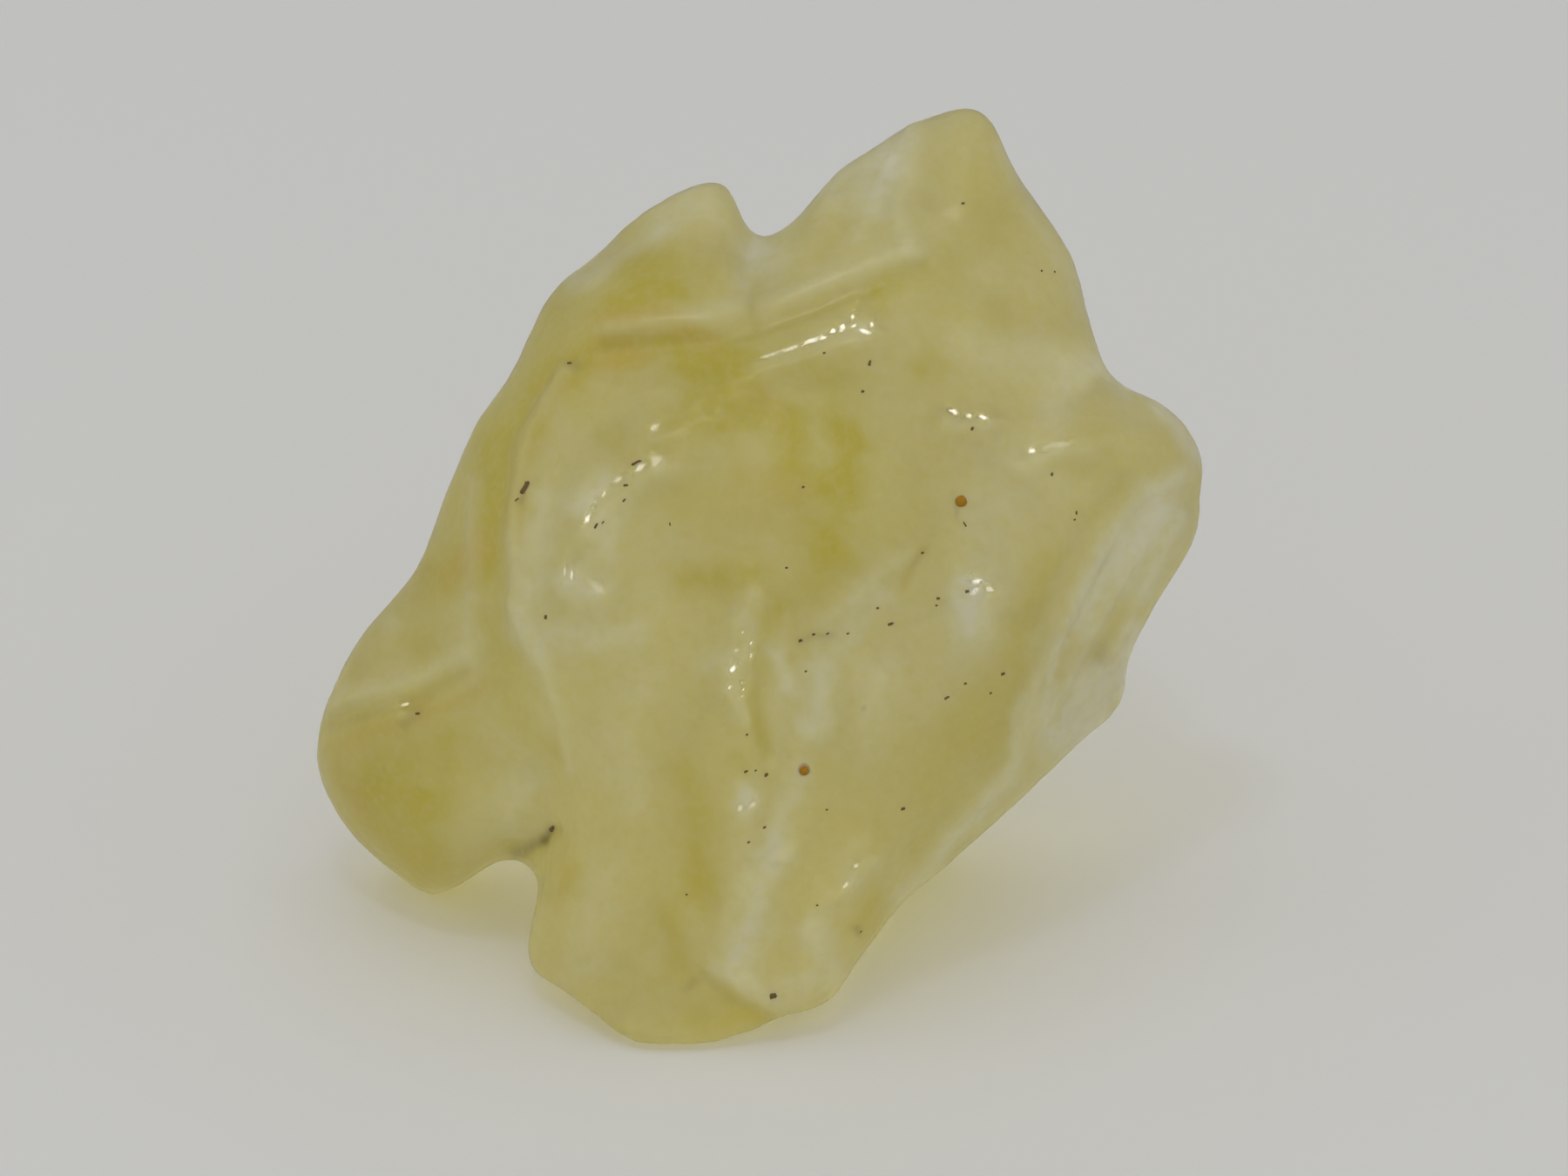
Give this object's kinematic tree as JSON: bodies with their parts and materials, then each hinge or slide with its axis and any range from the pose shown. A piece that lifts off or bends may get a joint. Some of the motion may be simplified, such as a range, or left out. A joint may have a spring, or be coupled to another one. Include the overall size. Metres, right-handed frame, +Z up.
{
  "type": "desert glass specimen",
  "caption": "Wind-worn lump of natural pale yellow-green desert glass, a hand specimen that stands by itself.",
  "frame": {"origin": "on the resting plane, under the middle of the lump's box", "axes": "+Z up; +X along the lump's length, to the right as seen from the front; +Y from the front to the back; the broad face looks towards -Y and leans back 30 degrees"},
  "size_m": [0.0512, 0.0332, 0.0445],
  "materials": {
    "glass": "gloss"
  },
  "bodies": {
    "root": {"desert_glass": "glass"}
  },
  "joints": []
}
